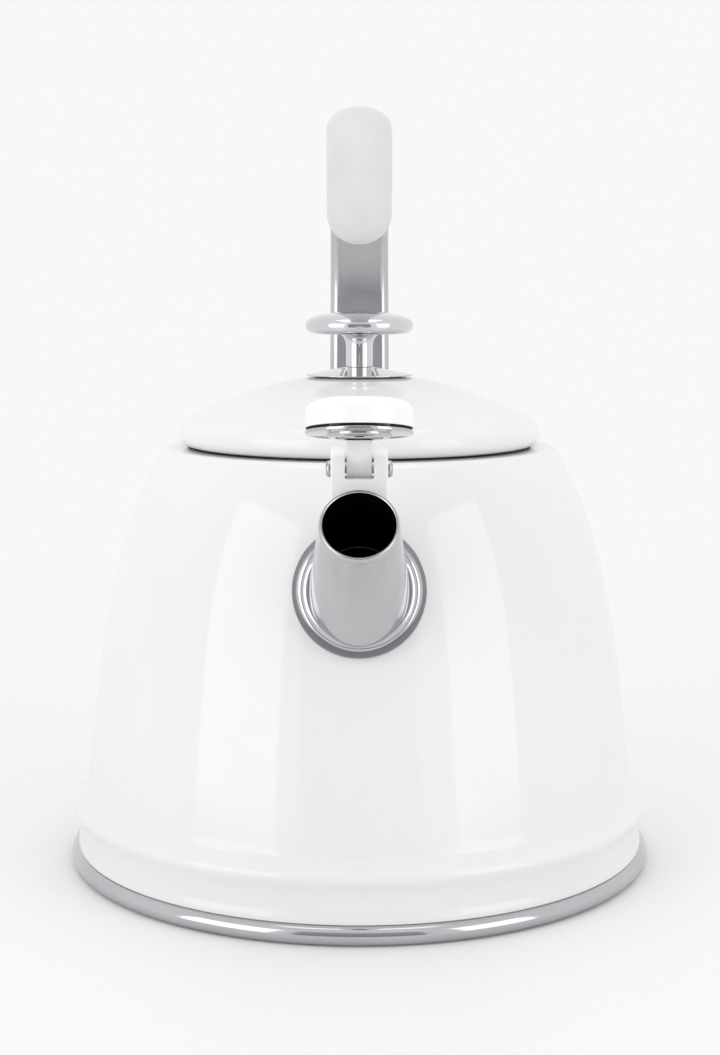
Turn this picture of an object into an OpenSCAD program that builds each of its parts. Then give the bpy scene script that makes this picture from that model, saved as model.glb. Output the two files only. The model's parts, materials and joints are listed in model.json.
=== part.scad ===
// Stovetop whistling kettle: an enamelled steel body on a capsule base, a loose lid with a
// knob, a straight spout with a flip-up whistle, and an arched handle fixed only at the back.
// Millimetres, +Z up. The origin is on the body's axis at the underside of the base. The
// spout points to -Y and the handle rises at +Y. The whistle is drawn flipped open.

/* [Body] */
// Diameter over the foot ring
base_d = 190; // [165:1:230]
// Height of the lid seat above the underside
seat_h = 135; // [112:1:165]
// Thickness of the enamelled steel wall
wall_t = 1.5; // [1:0.1:2]
// Share of the wall's lean that is an even taper, the rest being the curve near the shoulder
wall_share = 0.504; // [0.3:0.01:0.7]
// Height of the crest of the bead pressed round the body
bead_z = 19.6; // [16:0.2:24]
// How far the crest stands out past the waist below it
bead_out = 1.8; // [1:0.1:2.6]
// How far the wall steps in above the crest
bead_step = 4.4; // [2.5:0.1:6]

/* [Base] */
// Height of the bare steel foot ring
ring_h = 6; // [5:0.5:8]
// Thickness of the steel skin round the heat disc
skin_t = 0.8; // [0.5:0.1:1.2]
// Thickness of the vessel's floor pan
pan_t = 1; // [0.6:0.1:1.5]

/* [Lid] */
// Diameter over the lid's rim
lid_d = 117.2; // [98:0.2:141]
// Height of the lid's dome above the seat
lid_h = 23.3; // [18:0.1:28]
// Thickness of the lid's steel
lid_t = 1.2; // [0.8:0.1:1.6]
// How far the lid's rim laps past the neck opening
neck_lap = 6.1; // [5:0.1:9]
// Depth of the neck's turned-down edge
neck_depth = 7; // [5:0.5:9]
// Radial clearance between the lid's skirt and the neck
skirt_gap = 0.6; // [0.4:0.1:1]

/* [Knob] */
// Diameter of the knob's disc
knob_d = 35; // [28:0.2:42]
// Thickness of the knob's disc
knob_t = 7.1; // [5.5:0.1:8.6]
// Height of the knob's underside above its base
knob_rise = 10.6; // [8:0.2:13]
// Diameter of the knob's stem
stem_d = 8.6; // [7.2:0.2:10.4]

/* [Spout] */
// Rise of the spout above the horizontal, in degrees
spout_rise = 36.5; // [30:0.5:44]
// Length of the spout's axis from the wall to the mouth
spout_len = 42.3; // [34:0.1:51]
// How far below the lid seat the spout's axis leaves the wall
spout_drop = 36.3; // [32:0.1:44]
// Outer diameter of the mouth
mouth_d = 21.4; // [18:0.2:26]
// Taper of the tube's radius for each millimetre of length
spout_taper = 0.097; // [0.05:0.001:0.13]
// Thickness of the tube's wall
tube_t = 0.9; // [0.6:0.1:1.2]
// How far the collar stands out past the tube at the spout's root
collar_out = 4.6; // [3.8:0.05:6]

/* [Whistle] */
// How far the whistle's cap and plate stand out past the mouth
cap_out = 3.6; // [3:0.1:5]
// Height of the moulded cap
cap_h = 7.3; // [6.6:0.1:8.6]
// Steam gap between the plate and the cap
steam_gap = 0.7; // [0.5:0.1:1]
// Turn of the whistle from open to closed, in degrees
open_angle = 64; // [40:1:75]
// Diameter of the hinge pin
pin_d = 2.5; // [2.1:0.1:3]
// Width of the hinge arm
arm_w = 7; // [5.8:0.1:8.4]
// Thickness of each ear of the bracket
ear_t = 3.85; // [3:0.05:4.6]
// Side clearance between the arm and each ear
ear_gap = 0.45; // [0.3:0.05:0.8]

/* [Handle] */
// Radius of the arch's centre line
arch_r = 62; // [54:1:74]
// Height of the arch's centre above the lid seat
arch_rise = 41; // [34:1:49]
// How far the post's centre line stands behind the wall at its root
post_out = 17.7; // [15:0.1:21]
// Width of the grip
grip_w = 22; // [18.4:0.2:26.4]
// Thickness of the grip
grip_t = 14.3; // [12:0.1:17]
// Angle of the joint between post and grip, up from the back
joint_a = 32; // [26:1:38]
// Angle of the grip's free end, up from the back
end_a = 148; // [130:1:152]

/* [Hidden] */
$fn = 96;

// Clearances: between fixed pieces, between a shaft and its bore, and past a cut face
fit_gap = 0.05;
run_gap = 0.05;
cut = 1;

// Base and lower wall
ring_r = base_d / 2;
ring_arc = ring_h / 2;
ring_mid_r = ring_r - ring_arc;
waist_r = ring_r - 2.8;
waist_z = ring_h + 4;
foot_flare = 0.6;
foot_edge = 0.8;
pan_r = waist_r - wall_t - 2 * fit_gap;
pan_top_z = waist_z + 3;
pan_bend = 3;
pan_z = ring_h - skin_t;
groove_r = 0.4;
groove_shares = [0.32, 0.58, 0.84];

// Wall, shoulder and neck
lid_r = lid_d / 2;
neck_r = lid_r - neck_lap;
wall_foot_z = bead_z + 5.2;
wall_foot_r = waist_r + bead_out - bead_step;
shoulder_drop = 2;
wall_top_z = seat_h - shoulder_drop;
wall_top_r = lid_r + 6.2;
neck_bend = 2;

// Lid: rolled rim, dome and seal
seal_h = 0.5;
rim_low_r = 3.65;
rim_high_r = 5.5;
rim_lip = 1.2;
rim_z = seat_h + seal_h + rim_low_r;
dome_z = seat_h + lid_h;
dome_edge_a = 28;
dome_edge = [lid_r - rim_high_r * (1 - sin(dome_edge_a)), rim_z + rim_high_r * cos(dome_edge_a)];
dome_drop = dome_z - dome_edge[1];
dome_r = (pow(dome_edge[0], 2) + pow(dome_drop, 2)) / (2 * dome_drop);
skirt_t = 1;
skirt_r = neck_r - skirt_gap;
skirt_top_z = dome_height(skirt_r) - 1.2 * lid_t;
seal_r = lid_r - rim_low_r + 0.6;

// Knob and its screw
knob_screw_r = 2;
knob_screw_in = 5.5;
knob_head_r = 4;
knob_head_t = 2.4;
knob_hole_r = knob_screw_r + 0.2;
dish_r = knob_d / 2 - 0.1;
dish_h = 2.1;
dish_foot_r = 5;
dish_drop = 0.8;
dish_lip = 0.25;
dish_z = dome_z;
stem_z = dish_z + dish_h;
disc_z = stem_z + knob_rise;
disc_low = 2.9;
disc_curve = [0.8, 0.9];
flare_r = stem_d / 2 + 2.7;
flare_h = 4;
spigot_r = 3;
spigot_h = 2.5;
washer_r = 6;
washer_t = 0.8;
washer_z = dome_height(washer_r) - lid_t - fit_gap - washer_t;

// Spout frame: its root on the wall, its axis, and the plane the whistle closes on
mouth_r = mouth_d / 2;
mouth_gap = 0.3;
spout_tilt = 90 - spout_rise;
spout_root_z = seat_h - spout_drop;
axis_y = -cos(spout_rise);
axis_z = sin(spout_rise);
mouth_y = -wall_r(spout_root_z) + spout_len * axis_y;
mouth_z = spout_root_z + spout_len * axis_z;
spout_deep = 22;
tube_l = spout_len + spout_deep;
collar_r = mouth_r + spout_len * spout_taper + collar_out;
collar_z = spout_root_z + 1.2;
collar_t = 1.7;
collar_band = 2.6;
collar_bead = 2.2;
collar_edge = 0.25;
collar_deep = 6;

// Hinge: the pin's place from the mouth, back along the spout and up from its axis
pin_back = 7.25;
pin_up = mouth_r + 10.5;
pin_r = pin_d / 2;
pin_y = mouth_y + pin_up * axis_z - pin_back * axis_y;
pin_z = mouth_z - pin_up * axis_y - pin_back * axis_z;
knuckle_r = pin_r + 2;
ear_r = pin_r + 4.75;
slot_w = arm_w + 2 * ear_gap;
bracket_w = slot_w + 2 * ear_t;
trough_r = knuckle_r + 0.3;
slot_z = pin_z - trough_r;
bracket_base_z = mouth_z + (pin_y - ear_r - mouth_y) * axis_z / axis_y;
pin_head_r = 2.33;
pin_head_t = 1.4;
pin_head_flat = 1.28;
pin_head_round = 0.7;
rest_tilt = spout_tilt - open_angle;

// The boss under the bracket and the screw that holds the bracket down
boss_r = 3.2;
boss_z = slot_z - 2.95;
boss_hole = 2.6;
small_head_r = 2.6;
small_head_t = 1.6;
small_screw_r = 1.4;
small_sink = 0.15;
bracket_screw_l = 3.4;

// Whistle
plate_t = 0.9;
plate_round = 0.3;
cap_r = mouth_r + cap_out;
cap_z = plate_t + steam_gap;
cap_round = 3.4;
chamber_r = cap_r - 5.8;
chamber_h = 3;
spigot_in = chamber_r + 0.2;
spigot_out = cap_r - 1.2;
outlet_w = 3;
outlet_angles = [0, 60, 120];
drum_r = mouth_r - tube_t - 1.3;
drum_t = 0.35;
drum_h = 0.9;
drum_step = 0.4;
drum_core_r = drum_r - 1.9;
drum_bevel = 0.3;
drum_round = 0.7;
whistle_hole_r = 1.5;
rivet_at = cap_r - 3.4;
rivet_angles = [90, 210, 330];
rivet_in = 3;
rivet_r = 0.7;
button_r = 5.6;
button_t = 0.7;
button_sink = 0.6;
button_round = 0.5;
button_stem_r = 2;
button_stem_l = 2;
plate_room = 0.3;

// Arm, in side view: flat in front, so that it clears the bracket's lip as it swings down
arm_front = 2.1;
arm_end_t = 2;
lip_gap = 0.15;
lip_z = pin_z - arm_front - lip_gap;
arm_from = [pin_up, -pin_back];
arm_to = [cap_r - 1.7, cap_z + cap_h * 0.47];
arm_dir = (arm_to - arm_from) / norm(arm_to - arm_from);
arm_side = [-arm_dir[1], arm_dir[0]];
arm_back_a = atan2(-arm_side[1], -arm_side[0]);

// Handle: the arch, then an arc of larger radius that brings the post down to the wall
root_z = seat_h - 23;
post_root_gap = 4.3;
arch_z = seat_h + arch_rise;
arch_y = wall_r(root_z) + post_out - arch_r;
post_swing = post_out - post_root_gap;
post_arc_r = (pow(arch_z - root_z, 2) + pow(post_swing, 2)) / (2 * post_swing);
post_arc_y = arch_y + arch_r - post_arc_r;
post_low_z = root_z - 22;
post_low_a = asin((arch_z - post_low_z) / post_arc_r);
post_w = grip_w + 0.6;
post_t = grip_t - 0.8;
post_corner = 3;
post_hollow = 0.4;
tang_w = 12;
tang_t = 5;
tang_root_a = -4;
tang_a = 122;
end_join_a = 2;
pocket_a = 0.5;
lug_w = 12;
lug_low = 10.5;
lug_high = 5;
lug_y = wall_r(root_z) + 5;
handle_screw_r = 1.75;
handle_head_r = 3.6;
handle_head_t = 2.2;
handle_head_sink = 0.4;
handle_screw_zs = [root_z - 6.5, root_z + 1.5];
handle_screw_tip = 1;
grip_screw_a = joint_a + 12;
grip_screw_sink = 0.5;
grip_screw_in = tang_t / 4;

enamel = [0.97, 0.97, 0.96];
soft_white = [0.88, 0.88, 0.87];
steel = [0.72, 0.72, 0.74];
chrome = [0.82, 0.83, 0.85];
alloy = [0.66, 0.67, 0.68];
silicone = [0.2, 0.2, 0.21];

function lerp(a, b, t) = a + (b - a) * t;
function ease(t) = (1 - cos(180 * t)) / 2;
function reverse(p) = [for (i = [len(p) - 1:-1:0]) p[i]];
function arc(c, r, a0, a1, n) =
    [for (i = [0:n]) let (a = lerp(a0, a1, i / n)) [c[0] + r * cos(a), c[1] + r * sin(a)]];

// A sheet-metal outline: the path is one face, and the metal lies to the left of it
function heading(p, i) =
    let (a = p[max(i - 1, 0)], b = p[min(i + 1, len(p) - 1)]) (b - a) / norm(b - a);
function left_of(p, t) =
    [for (i = [0:len(p) - 1]) let (h = heading(p, i)) p[i] + t * [-h[1], h[0]]];
function sheet(p, t) = concat(p, reverse(left_of(p, t)));

// The wall leans in evenly, and more and more towards the shoulder
function wall_u(z) = (z - wall_foot_z) / (wall_top_z - wall_foot_z);
function wall_r(z) = wall_foot_r
    - (wall_foot_r - wall_top_r) * (wall_share * wall_u(z) + (1 - wall_share) * pow(wall_u(z), 4));
function wall_tilt(z) = atan((wall_foot_r - wall_top_r) / (wall_top_z - wall_foot_z)
    * (wall_share + 4 * (1 - wall_share) * pow(wall_u(z), 3)));

shoulder_a = wall_tilt(wall_top_z);
shoulder_r = shoulder_drop / (1 - sin(shoulder_a));
shoulder_mid = [wall_top_r - shoulder_r * cos(shoulder_a), seat_h - shoulder_r];

wall_path = concat(
    [[waist_r + foot_flare, ring_h]],
    [for (t = [0:0.25:1]) [waist_r + foot_flare * ease(1 - t), lerp(ring_h + foot_edge, waist_z, t)]],
    [for (t = [0.125:0.125:1]) [waist_r + bead_out * ease(t * t), lerp(waist_z, bead_z, t)]],
    [for (i = [1:6]) [waist_r + bead_out - bead_step * ease(i / 6), lerp(bead_z, wall_foot_z, i / 6)]],
    [for (i = [1:11]) let (z = lerp(wall_foot_z, wall_top_z, i / 12)) [wall_r(z), z]],
    arc(shoulder_mid, shoulder_r, shoulder_a, 90, 6));
body_path = concat(
    wall_path,
    arc([neck_r + neck_bend, seat_h - neck_bend], neck_bend, 90, 180, 5),
    [[neck_r, seat_h - neck_depth]]);

function dome_height(r) = dome_z - dome_r + sqrt(pow(dome_r, 2) - pow(r, 2));
lid_path = concat(
    [[lid_r - rim_low_r - rim_lip, rim_z - rim_low_r]],
    arc([lid_r - rim_low_r, rim_z], rim_low_r, -90, 0, 6),
    arc([lid_r - rim_high_r, rim_z], rim_high_r, 12, 90 - dome_edge_a, 4),
    [for (i = [1:10]) let (r = lerp(dome_edge[0], knob_hole_r, i / 10)) [r, dome_height(r)]]);

// A flat bar's section, t thick and w wide
function bar(t, w) = [[-t, -w], [t, -w], [t, w], [-t, w]] / 2;
// Half of an oval cut along its thickness, for a section w wide and t thick
function half_oval(w, t) = [for (a = [-90:15:90]) [w / 2 * cos(a), t / 2 * sin(a)]];
// The whole oval, with x along the thickness and y along the width
function oval(w, t) = [for (a = [0:15:345]) [t / 2 * cos(a), w / 2 * sin(a)]];
// The post's section: oval at the back, and a shallow hollow between round corners in front
function post_section() = let (x0 = -post_t / 2 + post_corner, y0 = post_w / 2 - post_corner)
    concat(
        [for (a = [-75:15:75]) [post_t / 2 * cos(a), post_w / 2 * sin(a)]],
        [[0, post_w / 2]],
        arc([x0, y0], post_corner, 90, 180, 6),
        [for (t = [0.25, 0.5, 0.75])
            [-post_t / 2 + post_hollow * sin(180 * t), lerp(y0, -y0, t)]],
        arc([x0, -y0], post_corner, 180, 270, 6),
        [[0, -post_w / 2]]);

// Places a child drawn along +Z so that +Z runs out along the spout, from the mouth's plane
module along_spout() translate([0, mouth_y, mouth_z]) rotate([spout_tilt, 0, 0]) children();
// Places a child drawn on the whistle plate's underside, hinge towards +Y, at the open pose
module on_whistle()
    translate([0, pin_y, pin_z]) rotate([rest_tilt, 0, 0]) translate([0, -pin_up, pin_back])
        children();
// Draws the child's XY plane as the YZ plane, with the child's Z along X
module side_view() rotate([90, 0, 90]) children();
module across(w) side_view() translate([0, 0, -w / 2]) linear_extrude(w) children();
module revolve(p) rotate_extrude() polygon(p);
module tube(r_out, r_in, z0, z1)
    rotate_extrude() translate([r_in, z0]) square([r_out - r_in, z1 - z0]);

module body_solid() revolve(concat([[0, ring_h]], wall_path, [[0, seat_h]]));

// The spout's cone, grown by extra all round, from behind the wall to past cuts at the mouth
module spout_cone(extra, past)
    along_spout() translate([0, 0, -tube_l - past])
        cylinder(
            h = tube_l - mouth_gap + 2 * past,
            r1 = mouth_r + extra + (tube_l + past) * spout_taper,
            r2 = mouth_r + extra + (mouth_gap - past) * spout_taper);

module body_shell() color(enamel) difference() {
    revolve(sheet(body_path, wall_t));
    spout_cone(-tube_t, 0);
}

module base_cap() color(steel) difference() {
    revolve(concat(
        [[0, 0]],
        arc([ring_mid_r, ring_arc], ring_arc, -90, 90, 12),
        [[pan_r + fit_gap, ring_h], [pan_r + fit_gap, pan_z]],
        reverse(arc([ring_mid_r, ring_arc], ring_arc - skin_t, -90, 90, 12)),
        [[0, skin_t]]));
    for (share = groove_shares)
        rotate_extrude() translate([ring_mid_r * share, 0]) circle(r = groove_r);
}

module heat_disc() color(alloy) revolve(concat(
    [[0, skin_t]],
    arc([ring_mid_r, ring_arc], ring_arc - skin_t, -90, 90, 12),
    [[0, pan_z]]));

module base_pan() color(steel) revolve(concat(
    [[0, pan_z]],
    arc([pan_r - pan_bend, pan_z + pan_bend], pan_bend, -90, 0, 6),
    [[pan_r, pan_top_z], [pan_r - pan_t, pan_top_z]],
    arc([pan_r - pan_bend, pan_z + pan_bend], pan_bend - pan_t, 0, -90, 6),
    [[0, pan_z + pan_t]]));

module spout_tube() color(steel) difference() {
    spout_cone(0, 0);
    spout_cone(-tube_t, cut);
    body_solid();
}

// The collar lies square to the wall, so it leans less than the spout that passes through it
module spout_collar() color(steel) difference() {
    translate([0, -wall_r(collar_z), collar_z]) rotate([90 - wall_tilt(collar_z), 0, 0])
        revolve(concat(
            [[0, -collar_deep]],
            [[collar_r, -collar_deep]],
            arc([collar_r - collar_edge, collar_t - collar_edge], collar_edge, 0, 90, 4),
            arc([collar_r - collar_band - collar_bead, collar_t], collar_bead, 0, 90, 6),
            [[0, collar_t + collar_bead]]));
    spout_cone(fit_gap, 0);
    body_solid();
}

module spout_boss() color(steel) difference() {
    translate([0, pin_y, bracket_base_z]) cylinder(h = boss_z - bracket_base_z, r = boss_r);
    spout_cone(fit_gap, 0);
    translate([0, pin_y, boss_z - boss_hole])
        cylinder(h = boss_hole + cut, r = small_screw_r + fit_gap);
}

module bracket_screw() color(steel) translate([0, pin_y, slot_z - small_sink - small_head_t]) {
    cylinder(h = small_head_t, r = small_head_r);
    translate([0, 0, -bracket_screw_l]) cylinder(h = bracket_screw_l, r = small_screw_r);
}

// A clevis with two round-topped ears, saddled on the tube and bored for the pin. The slot's
// floor is a trough under the arm's knuckle, between a lip in front and one behind.
module hinge_bracket() color(enamel) difference() {
    across(bracket_w) union() {
        translate([pin_y, pin_z]) circle(r = ear_r);
        translate([pin_y - ear_r, bracket_base_z]) square([2 * ear_r, pin_z - bracket_base_z]);
    }
    across(slot_w) union() {
        translate([pin_y - ear_r - cut, lip_z]) square([2 * (ear_r + cut), 2 * ear_r]);
        translate([pin_y, pin_z]) circle(r = trough_r);
    }
    across(2 * bracket_w) translate([pin_y, pin_z]) circle(r = pin_r + fit_gap);
    spout_cone(fit_gap, 0);
    translate([0, pin_y, bracket_base_z - cut])
        cylinder(h = boss_z - bracket_base_z + cut + fit_gap, r = boss_r + fit_gap);
    translate([0, pin_y, bracket_base_z]) cylinder(h = slot_z, r = small_screw_r + fit_gap);
    translate([0, pin_y, slot_z - small_sink - small_head_t])
        cylinder(h = slot_z, r = small_head_r + fit_gap);
}

// The arm's outline runs round the back and foot of the knuckle, then up to the cap
arm_path = concat(
    arc(arm_from, knuckle_r, arm_back_a, arm_back_a - 90 - asin(arm_front / knuckle_r), 12),
    [arm_to + arm_front * arm_side, arm_to - arm_end_t * arm_side]);

// Half of the pin's outline, from its shank out over one domed head
pin_path = concat(
    [[pin_r, bracket_w / 2 + fit_gap], [pin_head_r, bracket_w / 2 + fit_gap]],
    arc(
        [pin_head_r - pin_head_round, bracket_w / 2 + pin_head_t - pin_head_round],
        pin_head_round, 0, 60, 3),
    [[pin_head_flat, bracket_w / 2 + pin_head_t], [0, bracket_w / 2 + pin_head_t]]);

module hinge_pin() color(steel) side_view() translate([pin_y, pin_z, 0])
    revolve(concat(pin_path, [for (q = reverse(pin_path)) [q[0], -q[1]]]));

// A run of a section round the arch's centre, between two angles up from the back
module arch_run(p, a0, a1)
    side_view() translate([arch_y, arch_z, 0]) rotate([0, 0, a0])
        rotate_extrude(angle = a1 - a0) translate([arch_r, 0]) polygon(p);

// Outer face of the post at height z, measured from the body's axis
function post_back(z) = post_arc_y
    + sqrt(pow(post_arc_r + post_t / 2, 2) - pow(arch_z - z, 2));

module lug_block(extra)
    translate([-lug_w / 2 - extra, 0, root_z - lug_low - extra])
        cube([lug_w + 2 * extra, lug_y + extra, lug_low + lug_high + 2 * extra]);

module handle_screw_shape(extra) for (z = handle_screw_zs)
    translate([0, post_back(z) - handle_head_sink, z]) rotate([90, 0, 0]) {
        translate([0, 0, -extra]) cylinder(h = handle_head_t + extra, r = handle_head_r + extra);
        cylinder(
            h = post_back(z) - handle_head_sink - wall_r(z) - handle_screw_tip + extra,
            r = handle_screw_r + extra);
    }

module handle_lug() color(steel) difference() {
    lug_block(0);
    body_solid();
    handle_screw_shape(fit_gap);
}

module handle_post() color(chrome) difference() {
    union() {
        arch_run(post_section(), 0, joint_a);
        side_view() translate([post_arc_y, arch_z, 0]) rotate([0, 0, -post_low_a])
            rotate_extrude(angle = post_low_a) translate([post_arc_r, 0]) polygon(post_section());
        arch_run(bar(tang_t, tang_w), tang_root_a, tang_a);
    }
    body_solid();
    lug_block(fit_gap);
    handle_screw_shape(fit_gap);
    for (z = handle_screw_zs) translate([0, post_back(z) - handle_head_sink, z])
        rotate([-90, 0, 0]) cylinder(h = post_t, r = handle_head_r + fit_gap);
    grip_screw_shape(fit_gap);
}

module handle_screws() color(steel) handle_screw_shape(0);

// A screw set square to the arch, its head sunk in the grip's underside
module grip_screw_shape(extra)
    side_view() translate([arch_y, arch_z, 0]) rotate([0, 0, grip_screw_a])
        translate([arch_r - grip_t / 2 + grip_screw_sink, 0, 0]) rotate([0, 90, 0]) {
            cylinder(h = small_head_t + extra, r = small_head_r + extra);
            cylinder(h = grip_t / 2 - grip_screw_sink + grip_screw_in, r = small_screw_r + extra);
        }

module handle_grip() color(soft_white) difference() {
    union() {
        arch_run(oval(grip_w, grip_t), joint_a, end_a);
        arch_run(oval(tang_w, tang_t), end_a - end_join_a, end_a + end_join_a);
        side_view() translate([arch_y, arch_z, 0]) rotate([0, 0, end_a])
            translate([arch_r, 0, 0]) rotate([0, -90, 0])
                rotate_extrude(angle = 180) polygon(half_oval(grip_w, grip_t));
    }
    arch_run(
        bar(tang_t + 2 * fit_gap, tang_w + 2 * fit_gap),
        joint_a - cut, tang_a + pocket_a);
    grip_screw_shape(fit_gap);
    side_view() translate([arch_y, arch_z, 0]) rotate([0, 0, grip_screw_a])
        translate([arch_r - grip_t, 0, 0]) rotate([0, 90, 0])
            cylinder(h = grip_t / 2 + grip_screw_sink + cut, r = small_head_r + fit_gap);
}

module grip_screw() color(steel) grip_screw_shape(0);

module lid_shell() color(enamel) revolve(sheet(lid_path, lid_t));

// The skirt's top follows the underside of the dome
module lid_skirt() color(steel) revolve([
    [skirt_r - skirt_t, seat_h - neck_depth],
    [skirt_r, seat_h - neck_depth],
    [skirt_r, skirt_top_z],
    [skirt_r - skirt_t, skirt_top_z]
]);

module lid_seal() color(silicone)
    tube(seal_r, skirt_r + fit_gap, seat_h + fit_gap, seat_h + seal_h - fit_gap);

// A shallow dish whose edge stands just off the lid's dome
module knob_base() color(chrome) revolve([
    [knob_hole_r, dish_z],
    [dish_foot_r, dish_z],
    [dish_r - 2 * dish_lip, dish_z - dish_drop],
    [dish_r, dish_z - dish_drop + dish_lip],
    [dish_r - 2 * dish_lip, dish_z - dish_drop + 2 * dish_lip],
    [stem_d / 2, dish_z + dish_h],
    [knob_hole_r, dish_z + dish_h]
]);

module knob_stem() color(chrome) difference() {
    revolve(concat(
        [[0, stem_z], [stem_d / 2, stem_z]],
        [for (t = [0:0.2:1])
            [lerp(flare_r, stem_d / 2, cos(90 * t)), disc_z - flare_h * (1 - sin(90 * t))]],
        [[spigot_r, disc_z], [spigot_r, disc_z + spigot_h], [0, disc_z + spigot_h]]));
    translate([0, 0, stem_z - cut])
        cylinder(h = knob_screw_in + 2 * cut, r = knob_screw_r + fit_gap);
}

// Round below its widest line and a flat oval dome above it
module knob_disc() color(chrome) difference() {
    revolve(concat(
        [[0, disc_z]],
        arc([knob_d / 2 - disc_low, disc_z + disc_low], disc_low, -90, 0, 6),
        [for (a = [12:13:90]) [
            knob_d / 2 * pow(cos(a), disc_curve[0]),
            disc_z + lerp(disc_low, knob_t, pow(sin(a), disc_curve[1]))]],
        [[0, disc_z + knob_t]]));
    translate([0, 0, disc_z - cut])
        cylinder(h = spigot_h + cut + fit_gap, r = spigot_r + fit_gap);
}

module knob_washer() color(steel)
    tube(washer_r, knob_hole_r, washer_z, washer_z + washer_t);

module knob_screw() color(steel) translate([0, 0, washer_z - fit_gap]) {
    translate([0, 0, -knob_head_t]) cylinder(h = knob_head_t, r = knob_head_r);
    cylinder(h = stem_z + knob_screw_in - washer_z, r = knob_screw_r);
}

// Cap, hinge arm and knuckle are one moulding, hollow under its crown
module whistle_cap() color(enamel) on_whistle() difference() {
    union() {
        revolve(concat(
            [[0, cap_z], [cap_r, cap_z]],
            arc([cap_r - cap_round, cap_z + cap_h - cap_round], cap_round, 0, 90, 6),
            [[0, cap_z + cap_h]]));
        tube(spigot_out, spigot_in, plate_t, cap_z + cut);
        difference() {
            across(arm_w) polygon(arm_path);
            translate([0, 0, -cap_r]) cylinder(h = cap_r + cap_z, r = cap_r + plate_room);
        }
    }
    translate([0, 0, plate_t - cut]) cylinder(h = steam_gap + chamber_h + cut, r = chamber_r);
    for (a = outlet_angles) rotate([0, 0, a])
        translate([-spigot_out - cut, -outlet_w / 2, plate_t - cut])
            cube([2 * (spigot_out + cut), outlet_w, steam_gap + cut]);
    across(2 * arm_w) translate([pin_up, -pin_back]) circle(r = pin_r + run_gap);
    translate([0, 0, cap_z + cap_h - button_sink]) cylinder(h = cap_h, r = button_r + fit_gap);
    translate([0, 0, cap_z + cap_h - button_sink - button_stem_l - fit_gap])
        cylinder(h = cap_h, r = button_stem_r + fit_gap);
    for (a = rivet_angles) rotate([0, 0, a]) translate([rivet_at, 0, -cut])
        cylinder(h = cap_z + rivet_in + cut, r = rivet_r + fit_gap);
}

module whistle_plate() color(steel) on_whistle() difference() {
    revolve(concat(
        [[whistle_hole_r, 0]],
        arc([cap_r - plate_round, plate_round], plate_round, -90, 0, 3),
        [[cap_r, plate_t], [whistle_hole_r, plate_t]]));
    for (a = rivet_angles) rotate([0, 0, a]) translate([rivet_at, 0, -cut])
        cylinder(h = plate_t + 2 * cut, r = rivet_r + fit_gap);
}

// A shallow cup with a sunk middle under the plate: steam sings through the holes in line
module whistle_drum() color(steel) on_whistle() revolve(sheet(
    concat(
        [[whistle_hole_r, -drum_h + drum_step], [drum_core_r - drum_bevel, -drum_h + drum_step]],
        [[drum_core_r, -drum_h]],
        arc([drum_r - drum_round, -drum_h + drum_round], drum_round, -90, 0, 5),
        [[drum_r, -fit_gap]]),
    drum_t));

// Pins set into the cap and dressed flush with the plate's underside
module plate_rivets() color(steel) on_whistle() for (a = rivet_angles)
    rotate([0, 0, a]) translate([rivet_at, 0, 0])
        cylinder(h = cap_z + rivet_in - fit_gap, r = rivet_r);

module cap_button() color(steel) on_whistle() translate([0, 0, cap_z + cap_h - button_sink]) {
    revolve(concat(
        [[0, 0]], [[button_r, 0]],
        arc(
            [button_r - button_round, button_sink + button_t - button_round],
            button_round, 0, 75, 4),
        [[0, button_sink + button_t]]));
    translate([0, 0, -button_stem_l]) cylinder(h = button_stem_l, r = button_stem_r);
}

body_shell();
base_cap();
heat_disc();
base_pan();
spout_tube();
spout_collar();
spout_boss();
hinge_bracket();
bracket_screw();
hinge_pin();
handle_lug();
handle_post();
handle_screws();
handle_grip();
grip_screw();
lid_shell();
lid_skirt();
lid_seal();
knob_base();
knob_stem();
knob_disc();
knob_washer();
knob_screw();
whistle_cap();
whistle_plate();
whistle_drum();
plate_rivets();
cap_button();
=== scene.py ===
import json
import math

import bmesh
import bpy
from mathutils import Matrix, Vector


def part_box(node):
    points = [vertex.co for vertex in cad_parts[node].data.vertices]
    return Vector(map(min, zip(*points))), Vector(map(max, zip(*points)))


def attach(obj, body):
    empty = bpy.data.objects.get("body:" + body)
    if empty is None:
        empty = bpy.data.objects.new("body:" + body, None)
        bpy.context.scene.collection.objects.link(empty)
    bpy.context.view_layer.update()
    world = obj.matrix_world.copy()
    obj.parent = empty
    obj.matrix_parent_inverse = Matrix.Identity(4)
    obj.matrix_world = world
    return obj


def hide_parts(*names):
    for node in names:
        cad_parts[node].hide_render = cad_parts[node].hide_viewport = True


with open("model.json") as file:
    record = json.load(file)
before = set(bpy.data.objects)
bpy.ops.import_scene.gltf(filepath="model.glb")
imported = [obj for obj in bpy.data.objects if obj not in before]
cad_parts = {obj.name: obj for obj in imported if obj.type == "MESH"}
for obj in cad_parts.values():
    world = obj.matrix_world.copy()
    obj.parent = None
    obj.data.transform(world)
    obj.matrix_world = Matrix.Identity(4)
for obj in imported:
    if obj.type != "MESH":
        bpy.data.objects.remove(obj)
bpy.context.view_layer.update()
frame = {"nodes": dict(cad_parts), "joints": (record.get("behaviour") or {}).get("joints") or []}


# --- Body shell -----------------------------------------------------------------------
# Deep-drawn sheet steel, sprayed with porcelain enamel and fired: white outside, and a dark
# coat inside whose near-black is painted shade for the kettle's dark hollow. One wall runs from
# the foot over a pressed bead up to the shoulder, which rolls in as the lid's seat and turns
# down into the neck.

MM = 0.001


def corners(node):
    """The lowest and highest corners of one solid, in millimetres."""
    low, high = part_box(node)
    return low / MM, high / MM


def linear(code):
    """An sRGB hex colour as linear RGBA."""
    shares = [int(code[i:i + 2], 16) / 255 for i in (1, 3, 5)]
    return [s / 12.92 if s <= 0.04045 else ((s + 0.055) / 1.055) ** 2.4 for s in shares] + [1]


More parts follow.
